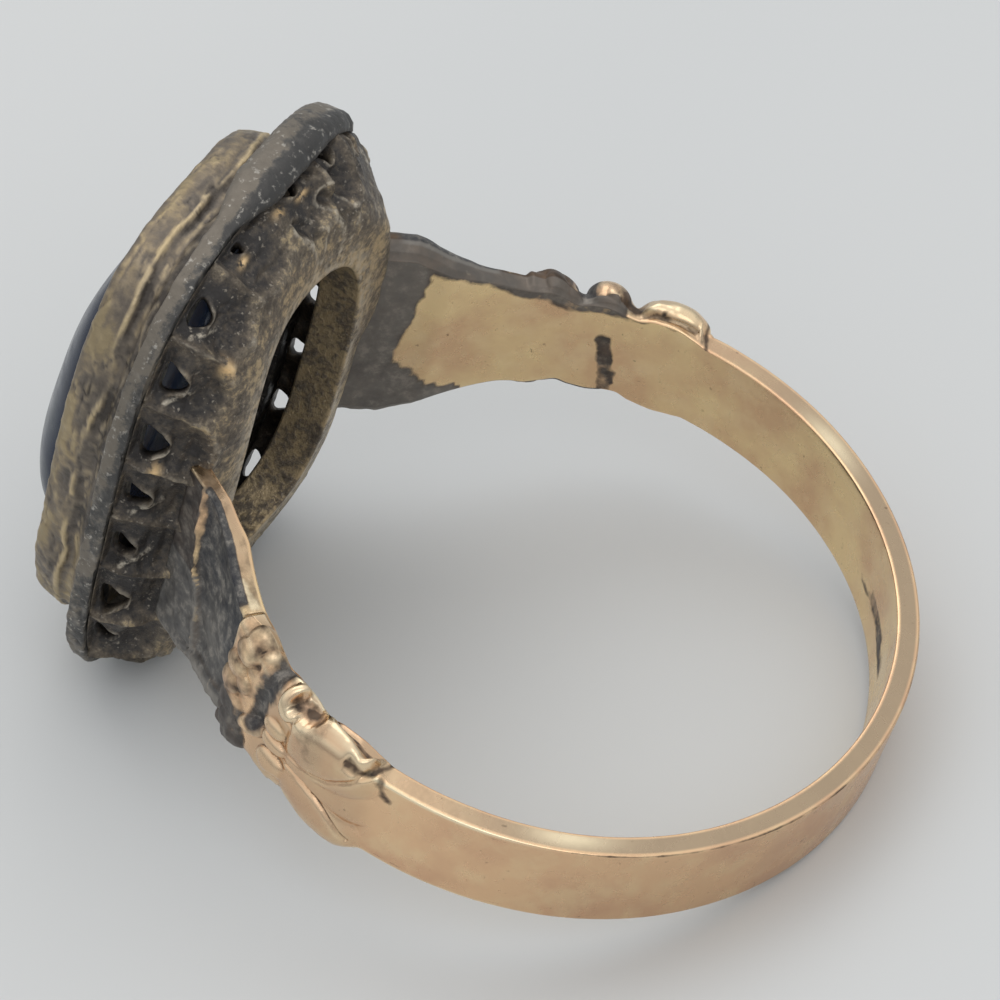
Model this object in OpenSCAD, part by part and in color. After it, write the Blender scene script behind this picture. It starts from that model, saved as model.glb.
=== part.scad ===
// Finger ring with a domed oval enamel, lying on its side as it rests on a table.
// Three pieces: the soldered gold hoop with its pierced gallery and flange, the
// pressed gilt bezel that sits on the flange, and the enamel dome held in the bezel.
// Each is drawn with the hoop's axis along Z and the head towards -X, then laid down.

/* [Hoop] */
// Inner diameter of the hoop
finger_d = 17.5; // [16.5:0.5:19]
// Thickness of the plain hoop
hoop_t = 0.62; // [0.55:0.01:0.75]
// Width of the hoop at its back
hoop_w = 2.7; // [2.4:0.1:3]

/* [Shoulders] */
// Width of a shoulder where it meets the gallery
shoulder_w = 6; // [5.6:0.1:6.4]
// Thickness of a shoulder at the gallery
shoulder_t = 0.58; // [0.5:0.01:0.8]
// How far the cast ornament stands over the hoop
relief_h = 0.38; // [0.2:0.02:0.5]
// Depth of the sunk panel next to the gallery
panel_depth = 0.17; // [0.1:0.01:0.22]
// Rim left round the sunk panel
panel_rim = 0.28; // [0.2:0.01:0.5]

/* [Gallery] */
// Half the width of the gallery's open back, across the finger
open_a = 3.15; // [3:0.05:3.4]
// Half the length of the gallery's open back, along the finger
open_b = 5.4; // [5:0.1:6]
// Height of the flange's back over the finger circle
gallery_h = 1.75; // [1.6:0.01:2]
// Height of the plain collar that stands round the open back, inside the gallery
collar_h = 1.2; // [0.8:0.05:1.3]
// Thickness of the pressed gallery wall
wall_t = 0.42; // [0.36:0.01:0.5]
// Number of flutes, each with one pierced arch
flutes = 22; // [18:2:24]
// Depth of a flute
flute_depth = 0.26; // [0.15:0.01:0.3]

/* [Flange] */
// Half the flange's width, across the finger
flange_a = 5.75; // [5.6:0.01:6]
// Half the flange's length, along the finger
flange_b = 8.1; // [7.9:0.01:8.4]
// Thickness of the flange
flange_t = 0.58; // [0.5:0.01:0.8]
// Squareness of every oval outline, where 2 is an ellipse
oval_power = 3.3; // [2.6:0.05:3.6]

/* [Bezel] */
// Half the bezel's width at its rim, across the finger
rim_a = 4.66; // [4.5:0.01:4.8]
// Half the bezel's length at its rim, along the finger
rim_b = 7.02; // [6.8:0.01:7.2]
// Height of the bezel over the flange
bezel_h = 1.71; // [1.5:0.01:1.9]

/* [Enamel] */
// Height of the dome over the bezel's rim
dome_h = 1.65; // [0.8:0.05:1.8]
// Share of the rim's opening that the dome covers, with a flat border round it
dome_share = 0.8; // [0.7:0.02:1]
// How much higher the dome stands towards the head's lower end
dome_lean = 0.4; // [0:0.05:0.5]

/* [Hidden] */
$fn = 96;

// Clearance between pieces that sit in one another
gap = 0.03;
// Radius of the finger and of the hoop's outside
finger_r = finger_d / 2;
hoop_r = finger_r + hoop_t;
// Distances from the hoop's axis, along the head
flange_back = finger_r + gallery_h;
flange_front = flange_back + flange_t;
bezel_back = flange_front + gap;
bezel_top = bezel_back + bezel_h;
// Gallery wall where it meets the flange, and how far it stands inside the edge
wall_inset = 0.22;
wall_a = flange_a - wall_inset;
wall_b = flange_b - wall_inset;

// The ring rests on the flange's lower end and the lower edge of the hoop's back
rest_tilt = atan2(flange_b - hoop_w / 2, flange_back + hoop_r);
rest_lift = flange_b * cos(rest_tilt) - flange_back * sin(rest_tilt);
// Ends of the tilted part along X, so that the origin lies under its middle
rim_corner = 0.5;
end_head = -(bezel_top * cos(rest_tilt) + (rim_b - rim_corner) * sin(rest_tilt));
end_back = hoop_r * cos(rest_tilt) + hoop_w / 2 * sin(rest_tilt);
middle_x = (end_head + end_back) / 2;

module lay_down() {
    translate([-middle_x, 0, rest_lift]) rotate([0, rest_tilt, 0]) children();
}

// Signed power, for the rounded ovals
function bend(v) = sign(v) * pow(abs(v), 2 / oval_power);
function oval(a, b, t) = [a * bend(cos(t)), b * bend(sin(t))];
// Length of the flange's outline up to each of its sample angles
OVAL_STEPS = 180;
function oval_step(i) = norm(oval(flange_a, flange_b, i * 360 / OVAL_STEPS)
    - oval(flange_a, flange_b, (i - 1) * 360 / OVAL_STEPS));
function run_up(i, sum, out) = i > OVAL_STEPS ? out
    : let (s = sum + (i == 0 ? 0 : oval_step(i)))
      run_up(i + 1, s, concat(out, [[s, i * 360 / OVAL_STEPS]]));
OVAL_RUN = run_up(0, 0, []);
OVAL_LENGTH = OVAL_RUN[OVAL_STEPS][0];
// Angle at a share of the way round, so that columns stand at equal distances
function oval_angle(share) =
    lookup((share - floor(share)) * OVAL_LENGTH, OVAL_RUN);

// Half the shank's width at distance d towards the head
flare_from = 2.5;
flare_to = 7.9;
flare_power = 2.1;
waist_w = hoop_w + 0.16;
function half_width(d) =
    d < 0 ? (waist_w + (hoop_w - waist_w) * min(1, -d / hoop_r)) / 2
    : waist_w / 2 + (shoulder_w - waist_w) / 2
        * pow(max(0, min(d, flare_to) - flare_from) / (flare_to - flare_from), flare_power);

// Outline of a shoulder seen along the finger: its inner side leaves the finger
// circle at shoulder_leaves and runs straighter to the gallery wall
shoulder_from = 2.6;
shoulder_leaves = 6.6;
shoulder_knee = [7.9, 4.92];
shoulder_meets = [8.72, 4.38];
function on_circle(r, d) = [d, sqrt(r * r - d * d)];
function across(a, b) = [a[1] - b[1], b[0] - a[0]] / norm(b - a);
shoulder_lean = across(shoulder_meets, shoulder_knee);
// Where the shoulder runs inside the hoop's own wall it stands this far off the circle
inside_wall = 0.05;
shoulder_inner = [shoulder_meets, shoulder_knee, on_circle(finger_r, shoulder_leaves),
                  on_circle(finger_r + inside_wall, shoulder_leaves - 1),
                  on_circle(finger_r + inside_wall, 4),
                  on_circle(finger_r + inside_wall, shoulder_from)];
// How far the outside swells over the hoop, and at the root in the gallery wall
//        towards the head, swell
swells = [[shoulder_from, 0],
          [3.4, -0.01],
          [4.6, 0],
          [5.8, 0.02],
          [7.1, 0.1]];
root_swell = 0.1;
function shoulder_side(cut) = concat(
    [for (row = swells) on_circle(hoop_r + row[1] - cut, row[0])],
    [for (p = [shoulder_knee, shoulder_meets])
        p - shoulder_lean * (shoulder_t - cut) + [root_swell, 0]]);

module both_sides() {
    children();
    mirror([0, 1, 0]) children();
}

module both_ends() {
    children();
    mirror([0, 0, 1]) children();
}

// A flat outline in distance towards the head and distance out, turned to the head at -X
module towards_head() {
    mirror([1, 0, 0]) children();
}

// The hoop and its two shoulders seen along the finger, without their widths
hoop_ends = shoulder_leaves - 0.2;
module shank_plan() {
    difference() {
        circle(r = hoop_r);
        circle(r = finger_r);
        translate([-hoop_r, -hoop_r]) square([hoop_r - hoop_ends, 2 * hoop_r]);
    }
    both_sides() towards_head() polygon(concat(shoulder_side(0), shoulder_inner));
}

// The shank seen from the side: narrow at the back, flared to the head
width_step = 0.55;
side_from = -10;
side_to = 9.6;
side_count = ceil((side_to - side_from) / width_step);
function side_at(i) = side_from + (side_to - side_from) * i / side_count;
module side_outline(inset = 0) {
    towards_head() polygon(concat(
        [for (i = [0 : side_count]) [side_at(i), half_width(side_at(i)) - inset]],
        [for (i = [side_count : -1 : 0]) [side_at(i), inset - half_width(side_at(i))]]));
}

module seen_from_side(depth) {
    rotate([90, 0, 0]) linear_extrude(depth, center = true) children();
}

// Sunk panel between the ornament and the gallery, cut from one shoulder's outside
panel_from = 5.75;
panel_to = 8.45;
module sunk_panel() {
    bottom = shoulder_side(panel_depth);
    root = bottom[len(bottom) - 1];
    intersection() {
        linear_extrude(shoulder_w, center = true) towards_head()
            polygon(concat(bottom, [root + [1, 1], on_circle(hoop_r + 1, shoulder_from)]));
        seen_from_side(4 * hoop_r) intersection() {
            side_outline(panel_rim);
            translate([-panel_to, -shoulder_w]) square([panel_to - panel_from, 2 * shoulder_w]);
        }
    }
}

// Stands its child on one shoulder's outside, at distance d towards the head
module on_shoulder(d, z, r = hoop_r) {
    turn = asin(d / r);
    rotate([0, 0, 90 - turn]) translate([-r, 0, z]) rotate([0, -90, 0]) children();
}

// Rounded lobes between the sunk panel and the leaf: those on the middle line, and
// those that stand in pairs either side of it
//               towards head, along finger, radius, how far it is sunk
middle_lobes = [[5.4,  0,    0.56, 0.24],
                [3.85, 0,    0.45, 0.2]];
lobes =        [[5.25, 0.95, 0.5,  0.22],
                [5.1,  1.65, 0.55, 0.3],
                [4.55, 0.5,  0.42, 0.2]];
module lobe(row) {
    on_shoulder(row[0], row[1]) translate([0, 0, -row[3]]) sphere(r = row[2]);
}

// One curl of the paired scrolls
curl_at = [3.5, 1.25];
curl_r = 0.42;
curl_wire = 0.22;
curl_turn = 20;
curl_arc = 270;
module curl() {
    on_shoulder(curl_at[0], curl_at[1]) rotate([0, 0, curl_turn])
        rotate_extrude(angle = curl_arc, $fn = 32)
            translate([curl_r, 0]) circle(r = curl_wire, $fn = 16);
}

// A leaf blade bounded by two arcs, its tip towards +X
module blade(length, width) {
    r = (length * length / width + width) / 4;
    intersection() {
        translate([length / 2, r - width / 2]) circle(r = r);
        translate([length / 2, width / 2 - r]) circle(r = r);
    }
}

// The broad leaf that runs out along the hoop and laps over both its edges
//         length, width, offset, turn, lift over the hoop as a share of the relief
blades = [[2.7, 1.8,  0.6,  14, 0.75],
          [2.7, 1.8, -0.6, -14, 0.75],
          [3,   1.5,  0,    0,  1]];
leaf_root = 3.1;
leaf_depth = 0.34;
module leaf() {
    for (b = blades) intersection() {
        difference() {
            cylinder(r = hoop_r + relief_h * b[4], h = shoulder_w, center = true);
            cylinder(r = hoop_r - leaf_depth, h = shoulder_w + 1, center = true);
        }
        translate([0, -hoop_r, 0]) seen_from_side(1.6 * hoop_r)
            translate([-leaf_root, b[2]]) rotate(b[3]) blade(b[0], b[1]);
    }
}

// Cast ornament of the shoulder on the -Y side, a little off the middle of the hoop
ornament_up = 0.2;
ornament_reach = 0.6;
module ornament() translate([0, 0, ornament_up]) {
    intersection() {
        union() {
            for (row = middle_lobes) lobe(row);
            both_ends() {
                for (row = lobes) lobe(row);
                curl();
            }
        }
        difference() {
            cylinder(r = hoop_r + ornament_reach, h = shoulder_w, center = true);
            cylinder(r = hoop_r - leaf_depth, h = shoulder_w + 1, center = true);
        }
    }
    leaf();
}

module shank() {
    difference() {
        intersection() {
            linear_extrude(2 * shoulder_w, center = true) shank_plan();
            seen_from_side(4 * hoop_r) side_outline();
        }
        both_sides() sunk_panel();
    }
    both_sides() ornament();
}

// Gallery: one pressed wall with arches. A flat foot lies round its open back, the
// wall rises like a bowl to the flange, and the outline closes over the flange, back
// down inside and round the collar. Rows of the wall, from the finger up:
//          height, flute, width of the arch there, how much of the wall lies flat
wall_rows = [[0,    0,   1,    1],
             [0.03, 0,   1,    0.9],
             [0.1,  0,   1,    0.75],
             [0.22, 0.5, 1,    0.6],
             [0.42, 1,   0.3,  0.4],
             [0.68, 1,   0.8,  0.15],
             [0.94, 0.9, 1,    0],
             [1,    0.8, 1,    0]];
bowl_power = 0.37;
// Collar, inside the lowest rows of the wall: share of its height, how thick it is there
collar_rows = [[0.35, 0],
               [1,    0],
               [1,    0.25]];
flute_cols = 6;
arch_cols = [1, 4];
arch_rows = [4, 5];
wall_last = len(wall_rows) - 1;
cols = flutes * flute_cols;
saddle_r = finger_r + 0.05;

function bowl(v) = pow(sin(90 * v), bowl_power);
function flute_at(i) = (i % flute_cols) / flute_cols;
function spread(u, k) = u == 0 ? 0 : 0.5 + (u - 0.5) * k;
function column_angle(i, k) =
    oval_angle((floor(i / flute_cols) + spread(flute_at(i), k)) / flutes);
function saddle(y) = sqrt(saddle_r * saddle_r - y * y);
function wall_point(i, row, inside) =
    let (v = row[0], t = column_angle(i, row[2]),
         hollow = inside ? 0 : flute_depth * row[1] * (0.5 - 0.5 * cos(360 * flute_at(i))),
         less = hollow + (inside ? wall_t * sqrt(1 - row[3] * row[3]) : 0),
         up = inside ? wall_t * row[3] : 0,
         foot = oval(open_a, open_b, t),
         p = oval(open_a + (wall_a - open_a) * bowl(v) - less,
                  open_b + (wall_b - open_b) * bowl(v) - less, t))
    [-(saddle(foot[0]) * (1 - v) + flange_back * v + up), p[0], p[1]];
function collar_point(i, row) =
    let (t = column_angle(i, 1), foot = oval(open_a, open_b, t),
         p = oval(open_a + row[1], open_b + row[1], t))
    [-(saddle(foot[0]) + collar_h * row[0]), p[0], p[1]];
function flange_point(i, x, inset) =
    let (p = oval(flange_a - inset, flange_b - inset, column_angle(i, 1))) [-x, p[0], p[1]];

// The flange is a plate with a rounded edge, which reaches in under the bezel
flange_edge = 0.12;
flange_reach = 1.3;
gallery_rings = concat(
    [for (row = wall_rows) [for (i = [0 : cols - 1]) wall_point(i, row, false)]],
    [[for (i = [0 : cols - 1]) flange_point(i, flange_back, 0)],
     [for (i = [0 : cols - 1]) flange_point(i, flange_front - flange_edge, 0)],
     [for (i = [0 : cols - 1]) flange_point(i, flange_front, flange_edge)],
     [for (i = [0 : cols - 1]) flange_point(i, flange_front, flange_reach)],
     [for (i = [0 : cols - 1]) flange_point(i, flange_back, flange_reach)]],
    [for (j = [wall_last : -1 : len(collar_rows)])
        [for (i = [0 : cols - 1]) wall_point(i, wall_rows[j], true)]],
    [for (j = [len(collar_rows) - 1 : -1 : 0])
        [for (i = [0 : cols - 1]) collar_point(i, collar_rows[j])]]);

function at(i, j, n) = j * n + i % n;
function quad(a, b, c, d) = [[a, b, c], [a, c, d]];
function ring_cell(i, j, n, rows) =
    quad(at(i, j, n), at(i + 1, j, n), at(i + 1, (j + 1) % rows, n), at(i, (j + 1) % rows, n));
function outer_row(j, rows) = min(j, rows - 2 - j);
function is_arch(i, j, rows) =
    i % flute_cols >= arch_cols[0] && i % flute_cols <= arch_cols[1]
    && outer_row(j, rows) >= arch_rows[0] && outer_row(j, rows) <= arch_rows[1];
// The four sides of an arch, through the wall from outer row j to inner row back - j
function arch_side(i, j, i2, j2, back) =
    quad(at(i, j, cols), at(i2, j2, cols), at(i2, back - j2, cols), at(i, back - j, cols));

module gallery() {
    rows = len(gallery_rings);
    back = rows - 1;
    polyhedron(points = [for (ring = gallery_rings) each ring], faces = concat(
        [for (j = [0 : rows - 1]) for (i = [0 : cols - 1])
            if (!is_arch(i, j, rows)) each ring_cell(i, j, cols, rows)],
        [for (f = [0 : flutes - 1]) let (first = f * flute_cols + arch_cols[0],
                                         last = f * flute_cols + arch_cols[1] + 1,
                                         low = arch_rows[0], high = arch_rows[1] + 1)
            each concat(
                [for (i = [first : last - 1]) each arch_side(i, low, i + 1, low, back)],
                [for (j = [low : high - 1]) each arch_side(last, j, last, j + 1, back)],
                [for (i = [first : last - 1]) each arch_side(i + 1, high, i, high, back)],
                [for (j = [low : high - 1]) each arch_side(first, j + 1, first, j, back)])]));
}

module hoop_and_gallery() {
    color("darkgoldenrod") lay_down() union() {
        shank();
        gallery();
    }
}

// Plain closed ring of oval section: rows are distance from the hoop and inset from
// the half sizes a and b
OVAL_COLS = 72;
module oval_frame(a, b, rows) {
    n = OVAL_COLS;
    polyhedron(
        points = [for (row = rows) for (i = [0 : n - 1])
            let (p = oval(a - row[1], b - row[1], oval_angle(i / n))) [-row[0], p[0], p[1]]],
        faces = [for (j = [0 : len(rows) - 1]) for (i = [0 : n - 1])
            each ring_cell(i, j, n, len(rows))]);
}

// Bezel: pressed frame with a hollow moulding, a ledge under the enamel and a rim
// rubbed over its edge
rim_t = 0.5;
rim_lip = 0.3;
ledge_up = 0.4;
ledge_in = 0.6;
well_inset = 0.22;
module bezel() {
    //          up from the flange, in from the outside of the rim
    profile = [[0,                  -0.34],
               [0.24,               -0.3],
               [0.42,               -0.08],
               [0.75,               -0.14],
               [1.15,               -0.12],
               [bezel_h - 0.22,     -0.02],
               [bezel_h - 0.05,     0.08],
               [bezel_h,            0.25],
               [bezel_h - 0.08,     rim_t],
               [bezel_h - rim_lip,  rim_t],
               [bezel_h - rim_lip,  well_inset],
               [ledge_up,           well_inset],
               [ledge_up,           ledge_in],
               [0,                  ledge_in]];
    color("peru") lay_down() oval_frame(rim_a, rim_b,
        [for (row = profile) [bezel_back + row[0], row[1]]]);
}

// Enamel: a plate that lies on the ledge, its border inside the rim, and the dome
dome_rings = 7;
dome_sunk = 0.1;
border_rise = 0.06;
module enamel() {
    n = OVAL_COLS;
    plate_a = rim_a - well_inset - gap;
    plate_b = rim_b - well_inset - gap;
    neck = rim_t - well_inset;
    plate_back = bezel_back + ledge_up + gap;
    plate_front = bezel_top - rim_lip - gap;
    border = bezel_top - dome_sunk;
    foot = border + border_rise;
    rise = bezel_top + dome_h - foot;
    //       distance from the hoop, inset, share of the size, height of the dome
    rows = concat([[plate_back, 0, 1, 0], [plate_front - gap, 0, 1, 0],
                   [plate_front, neck, 1, 0], [border, neck, 1, 0]],
                  [for (k = [0 : dome_rings - 1]) let (t = 90 * k / dome_rings)
                      [foot, neck, dome_share * cos(t), rise * sin(t)]]);
    ring_points = [for (row = rows) for (i = [0 : n - 1])
        let (p = oval(plate_a - row[1], plate_b - row[1], oval_angle(i / n)) * row[2])
        [-row[0] - row[3] * (1 - dome_lean * p[1] / plate_b), p[0], p[1]]];
    last = len(rows) - 1;
    color("midnightblue") lay_down() polyhedron(
        points = concat(ring_points, [[-plate_back, 0, 0], [-foot - rise, 0, 0]]),
        faces = concat(
            [for (j = [0 : last - 1]) for (i = [0 : n - 1]) each ring_cell(i, j, n, last + 1)],
            [for (i = [0 : n - 1]) [len(ring_points), at(i + 1, 0, n), at(i, 0, n)]],
            [for (i = [0 : n - 1]) [len(ring_points) + 1, at(i, last, n), at(i + 1, last, n)]]));
}

hoop_and_gallery();
bezel();
enamel();
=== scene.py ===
import math

import bpy
import numpy as np
from mathutils import Matrix, Vector


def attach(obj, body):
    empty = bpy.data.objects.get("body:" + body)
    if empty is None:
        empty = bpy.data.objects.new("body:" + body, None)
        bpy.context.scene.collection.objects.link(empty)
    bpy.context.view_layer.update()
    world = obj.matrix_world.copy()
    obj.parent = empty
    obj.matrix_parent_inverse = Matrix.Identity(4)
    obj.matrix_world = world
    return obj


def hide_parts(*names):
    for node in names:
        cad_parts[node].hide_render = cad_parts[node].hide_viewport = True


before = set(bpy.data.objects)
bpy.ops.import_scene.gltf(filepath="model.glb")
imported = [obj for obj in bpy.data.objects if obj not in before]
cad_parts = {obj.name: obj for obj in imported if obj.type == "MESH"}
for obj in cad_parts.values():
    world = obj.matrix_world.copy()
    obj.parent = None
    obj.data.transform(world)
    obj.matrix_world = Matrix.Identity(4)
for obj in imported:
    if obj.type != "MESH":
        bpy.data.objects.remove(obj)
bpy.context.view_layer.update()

# The hoop with its two cast shoulders, in low-carat rose and yellow gold. The hoop is
# a plain bent strip; each shoulder carries a cast leaf, a pair of scrolls, lobes and a
# sunk panel, and is soldered into the gallery wall. Lengths here are in millimetres.

finger_r = 8.75
hoop_t = 0.62
hoop_r = finger_r + hoop_t
hoop_half = 1.35
waist_half = 1.43
shoulder_half = 3.0
flare_from, flare_to, flare_power = 2.5, 7.9, 2.1
# How the ring lies: its tilt, and where the finger's centre is over the floor
rest_tilt = math.radians(18.763)
centre_x, centre_up = 2.4648, 4.2922


def laid_down(points):
    """From millimetres towards the head, across the finger and along it to the row frame."""
    x, y, z = np.moveaxis(np.asarray(points, float), -1, 0)
    c, s = math.cos(rest_tilt), math.sin(rest_tilt)
    return np.stack([centre_x - x * c + z * s, -y, centre_up + x * s + z * c], -1) * 0.001


def step(v, low, high):
    """0 below low, 1 above high, and smooth between them."""
    t = np.clip((v - low) / (high - low), 0, 1)
    return t * t * (3 - 2 * t)


def grain(points, size, seed):
    """Smooth noise from -1 to 1 whose humps have the given size."""
    cells = 32
    table = np.random.default_rng(seed).uniform(-1, 1, (cells, cells, cells))
    place = np.asarray(points, float) / size + 100
    cell = np.floor(place).astype(int)
    within = place - cell
    within = within * within * (3 - 2 * within)
    total = 0
    for corner in np.ndindex(2, 2, 2):
        weight = np.prod(np.where(corner, within, 1 - within), axis=-1)
        i, j, k = np.moveaxis((cell + corner) % cells, -1, 0)
        total = total + weight * table[i, j, k]
    return total


def rough(points, size, seed, octaves=3):
    """Several sizes of noise on top of one another."""
    return sum(grain(points, size / 2 ** o, seed + o) / 2 ** o for o in range(octaves))


def soften(values, times):
    """Each value of a grid moved towards its neighbours' mean, several times over."""
    v = values.copy()
    for _ in range(times):
        rows = np.pad(v, ((1, 1), (0, 0)), mode="edge")
        v = (rows[:-2] + 2 * rows[1:-1] + rows[2:]) / 4
        v = (np.roll(v, 1, 1) + 2 * v + np.roll(v, -1, 1)) / 4
    return v


def most(first, *others):
    """The greatest of several marks at each point."""
    for other in others:
        first = np.maximum(first, other)
    return first


def smooth_line(x, table):
    """A smooth curve through a table's points, read at x."""
    xs, ys = np.array(table, float).T
    rate = np.diff(ys) / np.diff(xs)
    level = rate[:-1] * rate[1:] <= 0
    even = 2 * rate[:-1] * rate[1:] / np.where(level, 1, rate[:-1] + rate[1:])
    slope = np.concatenate([[rate[0]], np.where(level, 0, even), [rate[-1]]])
    i = np.clip(np.searchsorted(xs, x) - 1, 0, len(xs) - 2)
    h = xs[i + 1] - xs[i]
    t = np.clip((x - xs[i]) / h, 0, 1)
    return (ys[i] * (1 + 2 * t) * (1 - t) ** 2 + slope[i] * h * t * (1 - t) ** 2
            + ys[i + 1] * t * t * (3 - 2 * t) + slope[i + 1] * h * t * t * (t - 1))


def dome(d, s, at, size, turn=0.0, power=2.0, height=1.0):
    """A rounded lobe on an oval of the given half sizes."""
    c, n = math.cos(math.radians(turn)), math.sin(math.radians(turn))
    u = ((d - at[0]) * c + (s - at[1]) * n) / size[0]
    v = ((s - at[1]) * c - (d - at[0]) * n) / size[1]
    return height * np.sqrt(np.clip(1 - (u * u + v * v) ** (power / 2), 0, None))


def off_line(d, s, line):
    """Distance from a drawn line."""
    best = np.full(np.broadcast(d, s).shape, 9.0)
    for (d0, s0), (d1, s1) in zip(line[:-1], line[1:]):
        run = (d1 - d0) ** 2 + (s1 - s0) ** 2
        t = np.clip(((d - d0) * (d1 - d0) + (s - s0) * (s1 - s0)) / run, 0, 1)
        best = np.minimum(best, np.hypot(d - d0 - t * (d1 - d0), s - s0 - t * (s1 - s0)))
    return best


def bead(distance, width):
    """A rounded raised line of height 1."""
    return np.sqrt(np.clip(1 - (distance / width) ** 2, 0, None))


def seam(distance, width):
    """A soft groove or ridge of depth 1."""
    return np.exp(-(distance / width) ** 2)


def solid(name, points, faces, marks):
    """A smooth mesh object in the row frame, with one value of each mark for each point."""
    mesh = bpy.data.meshes.new(name)
    mesh.from_pydata(laid_down(points).tolist(), [], faces)
    for mark, values in marks.items():
        held = mesh.attributes.new(mark, "FLOAT", "POINT")
        held.data.foreach_set("value", np.asarray(values, np.float32).ravel())
    mesh.polygons.foreach_set("use_smooth", [True] * len(mesh.polygons))
    mesh.validate()
    mesh.update()
    piece = bpy.data.objects.new(name, mesh)
    bpy.context.scene.collection.objects.link(piece)
    return piece


def grid_faces(rows, cols, round_rows=False):
    """Quads of a grid whose columns close into a ring, and its rows too if asked."""
    r, c = np.meshgrid(np.arange(rows if round_rows else rows - 1), np.arange(cols), indexing="ij")
    r2, c2 = (r + 1) % rows, (c + 1) % cols
    quads = np.stack([r * cols + c, r * cols + c2, r2 * cols + c2, r2 * cols + c], -1)
    return quads.reshape(-1, 4).tolist()


# Radius of the shank's outside and inside, at degrees from the head
outer_line = [(28.0, 10.19), (33.0, 9.74), (37, 9.49), (41.4, hoop_r), (180, hoop_r)]
inner_line = [(26.65, 9.758), (31.9, 9.307), (36.3, 9.0), (41.0, finger_r), (180, finger_r)]
# By how many degrees the inside's points are moved at the root, so that its end is square
root_skew = 1.35


def half_width(d):
    """Half the shank's width, which flares from the waist to the gallery."""
    back = waist_half + (hoop_half - waist_half) * np.clip(-d / hoop_r, 0, 1)
    flare = np.clip(d - flare_from, 0, flare_to - flare_from) / (flare_to - flare_from)
    return back + (shoulder_half - waist_half) * flare ** flare_power


# How far the cast ornament bulges over the strip's edges: towards head, bulge
edge_bulge = [(-1, 0), (0.6, 0), (1.0, 0.1), (1.7, 0.24), (2.3, 0.2), (2.75, 0.06), (3.1, 0.1),
              (3.6, 0.2), (4.05, 0.14), (4.45, 0.0), (4.8, 0.1), (5.2, 0.17), (5.6, 0.06),
              (6.0, 0.0), (12, 0)]
# Radius of the outer corners: towards head, radius
corner_round = [(-10, 0.07), (0.4, 0.07), (1.2, 0.28), (2, 0.36), (4.6, 0.36), (5.4, 0.24),
                (6.0, 0.06), (12, 0.05)]

# Lobes of the cast crown, in distance towards the head and along the finger:
#        at            half sizes     turn  height
lobes = [((5.05, 2.08), (0.34, 0.34),   0, 0.20),
         ((4.62, 1.90), (0.26, 0.26),   0, 0.10),
         ((5.14, 1.56), (0.36, 0.36),   0, 0.20),
         ((5.36, 0.80), (0.34, 0.38),   0, 0.20),
         ((5.42, 0.10), (0.36, 0.44),  10, 0.19),
         ((5.04, 0.48), (0.28, 0.34),   0, 0.12),
         ((5.26, -0.6), (0.44, 0.50),   0, 0.13),
         ((5.05, -1.4), (0.50, 0.52),   0, 0.16),
         ((4.42, -0.4), (0.50, 0.25), -35, 0.20),
         ((3.74, 0.40), (0.38, 0.28),   0, 0.16),
         ((3.64, -0.1), (0.44, 0.24),   0, 0.18),
         ((3.56, -0.8), (0.50, 0.38),   0, 0.22),
         ((2.84, 1.74), (0.16, 0.17),   0, 0.20)]
crown_lift = 0.16
valley_depth = 0.16
valley_line = [(4.2, 2.3), (4.28, 1.2), (4.42, 0.4), (4.36, -0.15)]
# The scroll's wire: its centre, radius, half thickness, and where it is open in degrees
scroll_at, scroll_r, scroll_wire, scroll_open = (3.42, 1.62), 0.28, 0.16, 160
scroll_foot = [(3.5, 1.04), (3.28, 0.98)]
# The leaf's parts: at, half sizes, turn, how square, height
upper_petal = ((2.3, 0.95), (1.75, 1.12), -10, 2.6, 0.36)
middle_strip = ((2.2, -0.02), (2.0, 0.85), -3, 2.6, 0.25)
lower_petal = ((2.0, -1.05), (1.55, 0.78), 16, 2.4, 0.34)
# Creases that part the leaf into an upper petal, a middle strip and a lower petal
upper_crease = [(4.1, 0.1), (3.4, 0.05), (2.84, 0.12), (2.42, 0.2), (1.85, 0.5), (1.3, 1.05),
                (1.0, 1.45)]
lower_crease = [(3.3, -0.28), (2.52, -0.34), (2.08, -0.44), (1.74, -0.62), (1.4, -0.86), (1.0, -1.2)]
# Edge of the upper petal over the strip's side, and the hollow under its curled end
petal_edge = [(0.8, 2.2), (0.93, 1.86), (1.12, 1.66), (1.29, 1.6), (1.5, 1.68), (1.9, 1.78),
              (2.3, 1.79), (2.8, 1.74), (3.2, 1.9)]
petal_hollow = [(1.55, 1.46), (1.3, 1.4), (1.1, 1.36), (0.94, 1.44), (0.82, 1.68), (0.68, 1.98)]
corner_bar = [(4.0, 1.93), (3.56, 1.98), (3.2, 1.98), (2.92, 1.88)]
comma_line = [(0.62, 1.4), (0.62, 1.2), (0.5, 0.98), (0.32, 0.87)]


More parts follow.
